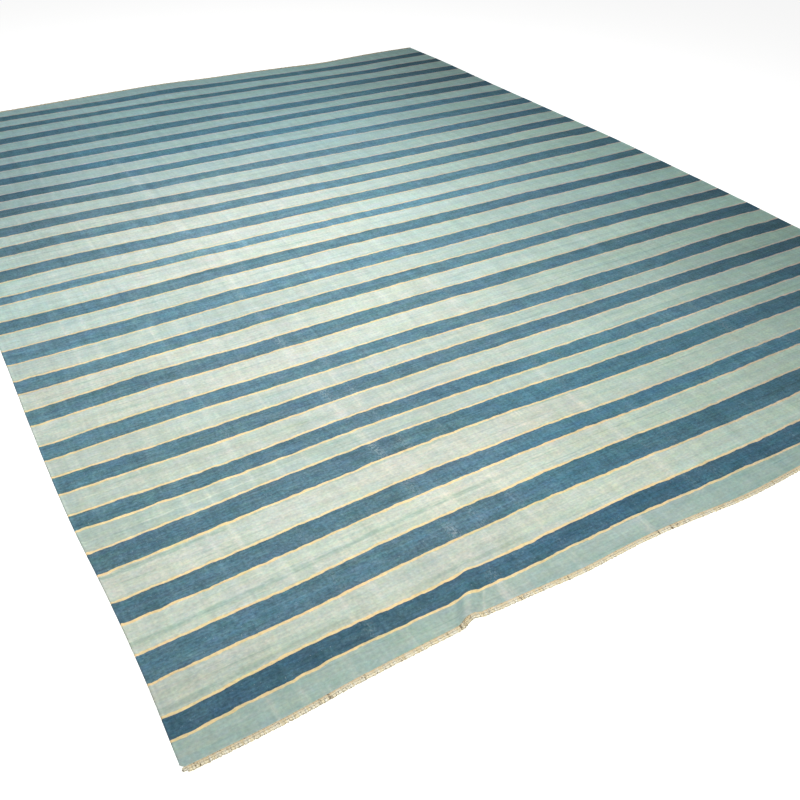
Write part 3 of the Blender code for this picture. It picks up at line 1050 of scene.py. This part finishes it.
# %% Worn fold lines and specks
FOLD_LINES = (
    (0.57, 0.35),
    (0.97, 1.00),
    (1.07, 0.60),
    (1.22, 0.35),
    (1.77, 0.45),
    (1.88, 0.35),
    (2.26, 0.35),
    (2.62, 0.60),
    (2.76, 0.45),
)
LINE_HALF_WIDTH = 0.026
stops = [(0, 0), (CLOTH_WIDTH, 0)]
for middle, strength in FOLD_LINES:
    stops += [(middle - LINE_HALF_WIDTH, 0), (middle, strength), (middle + LINE_HALF_WIDTH, 0)]
folds = curve_over(tree, across_here, sorted(stops), CLOTH_WIDTH)
WORN_BLUE = (0.46, 0.56, 0.60, 1)
MOST_WORN = 0.70
broken = ramp_over(tree, grained(tree, across_up, 9, 5, 5.0, 0.7), 0.36, 0.66)
speckle = grained(tree, across_up, 190, 95, 2.0, 0.6)
fold_specks = times(tree, folds, broken, ramp_over(tree, speckle, 0.46, 0.60))
loose_specks = times(tree, ramp_over(tree, speckle, 0.66, 0.74), 0.6)
specks = largest(tree, fold_specks, loose_specks)
worn_share = times(tree, specks, is_blue, MOST_WORN)
yarn = blend(tree, worn_share, yarn, WORN_BLUE)
print(len(FOLD_LINES), "worn fold lines")

# %% [markdown]
# The weave itself is relief: each weft passes over one warp and under the next, and the next weft the
# other way, which from close up is a pattern of bricks. A warp is three millimetres from the next, a
# weft a little over one. Modelled, that would be millions of faces, so it is bump in the finish.

# %% The weave's relief
WARP_PITCH = 3.0 * MM
WEFT_PITCH = 1.4 * MM
GROOVE = 0.35 * MM
WEAVE_DEPTH = 0.5 * MM
LUMP_HEIGHT = 2.5 * MM
brick_sizes = (("Scale", 1.0), ("Brick Width", 2 * WARP_PITCH), ("Row Height", WEFT_PITCH))
mortar = (("Mortar Size", GROOVE), ("Mortar Smooth", 1.0))
bricks = add(tree, "TexBrick", (("Vector", across_up),) + brick_sizes + mortar, offset=0.5, squash=1.0)
weave_height = times(tree, bricks.outputs["Fac"], -WEAVE_DEPTH)
lumps = times(tree, grained(tree, across_up, 60, 40), LUMP_HEIGHT)
relief = plus(tree, weave_height, lumps)
relief = add(tree, "Bump", (("Height", relief), ("Strength", 0.6), ("Distance", 1.0)))
plug(tree, surface.inputs["Normal"], relief.outputs[0])
plug(tree, surface.inputs["Base Color"], yarn)
surface.inputs["Roughness"].default_value = 0.9
surface.inputs["Sheen Weight"].default_value = 0.12
surface.inputs["Sheen Roughness"].default_value = 0.5
surface.inputs["Specular IOR Level"].default_value = 0.25
cloth.data.materials.clear()
cloth.data.materials.append(weft)
print("the cloth's finish has", len(tree.nodes), "nodes")

# %% [markdown]
# ## The finish of the knots
# The knots are undyed warp cotton, cream where it is clean. Near the cloth they turn golden brown, a
# painted shade where they meet the cloth together with the dust that settles there. Dark specks of
# painted shadow lie all along the row, and specks of painted shade and dirt lie most thickly in the few
# knots that are made darker.

# %% Warp cotton
CLEAN_COTTON = (0.98, 0.86, 0.57, 1)
BRIGHT_COTTON = (1.00, 0.96, 0.78, 1)
# golden brown at the knots' roots: painted shade where they meet the cloth, together with dust
ROOT_SHADE_AND_DUST = (0.46, 0.30, 0.13, 1)
# dark brown of painted shade and dirt on a few knots, and of the painted shadow specks along the row
DARK_SHADE_AND_DIRT = (0.14, 0.09, 0.05, 1)
SHADE_AND_DIRT_SPECK_SCALE = 240.0
PAINTED_SHADOW_SPECK_SCALE = 170.0
ROOT_SHADE_AND_DUST_SHARE = 0.55
PAINTED_SHADOW_DARK = 0.7
warp, tree, surface = new_finish("warp_cotton")
yarn_facts = add(tree, "Attribute", attribute_name="yarn").outputs[0]
facts = add(tree, "SeparateColor", (("Color", yarn_facts),))
cotton = blend(tree, facts.outputs[0], CLEAN_COTTON, BRIGHT_COTTON)
# share of painted shade and dust at the knot's root, near the cloth
root = less(tree, 1.0, ramp_over(tree, facts.outputs[1], 0.12, 0.62))
cotton = blend(tree, times(tree, root, ROOT_SHADE_AND_DUST_SHARE), cotton, ROOT_SHADE_AND_DUST)
speck_place = add(tree, "TexCoord").outputs["Object"]
# specks of painted shade and dirt, thickest on the few darker knots
shade_and_dirt_specks = ramp_over(tree, patches(tree, speck_place, SHADE_AND_DIRT_SPECK_SCALE), 0.36, 0.58)
shade_and_dirt_share = times(tree, facts.outputs[2], shade_and_dirt_specks)
# sparse dark specks all along the row: painted shadow under the knots
painted_shadow_specks = ramp_over(tree, patches(tree, speck_place, PAINTED_SHADOW_SPECK_SCALE), 0.61, 0.69)
shade_and_dirt_share = largest(tree, shade_and_dirt_share, times(tree, painted_shadow_specks, PAINTED_SHADOW_DARK))
cotton = blend(tree, shade_and_dirt_share, cotton, DARK_SHADE_AND_DIRT)
plug(tree, surface.inputs["Base Color"], cotton)
surface.inputs["Roughness"].default_value = 0.92
surface.inputs["Specular IOR Level"].default_value = 0.2
for row in (near_knots, far_knots):
    row.data.materials.clear()
    row.data.materials.append(warp)
print("the knots' finish has", len(tree.nodes), "nodes")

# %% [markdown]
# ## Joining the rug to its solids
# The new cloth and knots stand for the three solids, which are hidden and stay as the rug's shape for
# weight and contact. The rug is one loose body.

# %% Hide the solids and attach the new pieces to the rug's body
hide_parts("woven_field")
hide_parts("near_end_knots")
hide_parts("far_end_knots")
for piece in (cloth, near_knots, far_knots):
    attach(piece, "root")
print("the cloth is", CLOTH_WIDTH, "m wide")

# %% [markdown]
# ## Floor and light
# The rug lies on a wide, nearly white floor. Two soft square lights hang over it, as in a studio, one
# above its near end and one above its middle, both a little to the left. So the rug is brightest there
# and falls off to the far right.

# %% Make the floor
FLOOR_SIDE = 80
FLOOR_GLOW = 0.85
deselect_all()
bpy.ops.mesh.primitive_plane_add(size=FLOOR_SIDE, location=(0, 0, 0))
floor = bpy.context.object
floor.name = "floor"
floor_finish, tree, surface = new_finish("floor_paint")
surface.inputs["Base Color"].default_value = (0.86, 0.86, 0.85, 1)
surface.inputs["Roughness"].default_value = 1.0
surface.inputs["Specular IOR Level"].default_value = 0.0
surface.inputs["Emission Color"].default_value = (1, 1, 1, 1)
surface.inputs["Emission Strength"].default_value = FLOOR_GLOW
floor.data.materials.append(floor_finish)
print("the floor is", FLOOR_SIDE, "m wide")

# %% Hang the lights
Light = namedtuple("Light", "name across up height size watts")
LIGHTS = (
    Light("light_over_near_end", 0.875, 0.62, 2.61, 0.9, 61.5),
    Light("light_over_middle", 1.60, 2.98, 2.67, 0.9, 61.5),
)
for spec in LIGHTS:
    area = bpy.data.lights.new(spec.name, "AREA")
    area.shape = "SQUARE"
    area.size = spec.size
    area.energy = spec.watts
    lamp = bpy.data.objects.new(spec.name, area)
    lamp.location = CORNER + Vector((spec.across, spec.up, spec.height))
    lamp.visible_camera = False
    bpy.context.scene.collection.objects.link(lamp)

ROOM_GLOW = 0.05
world = bpy.data.worlds.new("pale_room")
world.use_nodes = True
backdrop = world.node_tree.nodes["Background"]
backdrop.inputs["Color"].default_value = (1, 1, 1, 1)
backdrop.inputs["Strength"].default_value = ROOM_GLOW
bpy.context.scene.world = world
bpy.context.scene.view_settings.view_transform = "Standard"
print("lights:", [light.name for light in LIGHTS])
